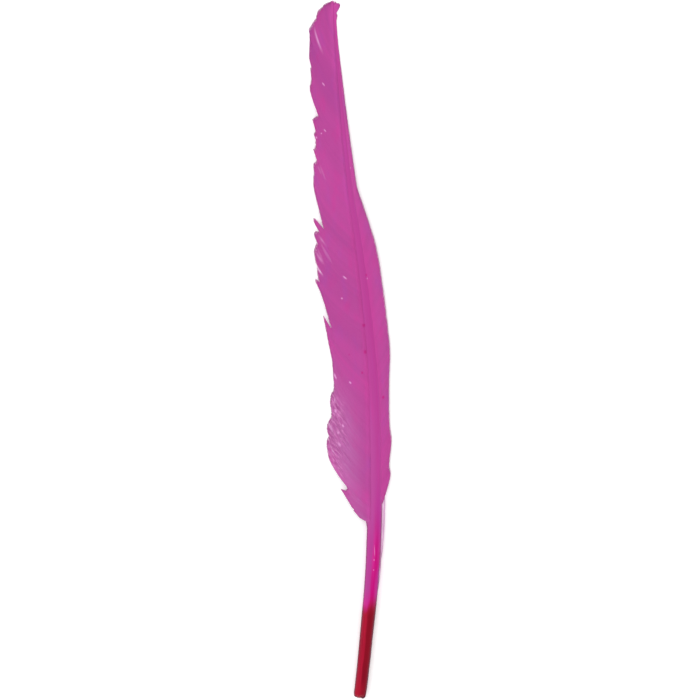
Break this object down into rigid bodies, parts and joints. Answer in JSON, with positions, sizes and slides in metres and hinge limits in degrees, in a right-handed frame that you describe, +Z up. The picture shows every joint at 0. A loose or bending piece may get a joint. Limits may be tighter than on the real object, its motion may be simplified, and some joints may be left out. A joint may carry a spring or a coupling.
{
  "type": "goose quill feather",
  "caption": "Long curved quill feather lying flat: round hollow quill, grooved tapering shaft, wide frayed trailing vane and narrow leading vane, dyed magenta with a dark red quill end.",
  "frame": {"origin": "middle of the feather's footprint, on the surface it lies on", "axes": "+Y from the cut end of the quill to the tip, +X towards the narrow leading vane, +Z up out of the smooth upper side"},
  "size_m": [0.0358, 0.3064, 0.0061],
  "materials": {
    "vane": "dyed magenta feather barbs, soft sheen along the barbs",
    "quill": "smooth satin keratin, dyed magenta and hot pink, dark red towards the cut end"
  },
  "bodies": {
    "root": {"feather": "vane"}
  },
  "joints": []
}
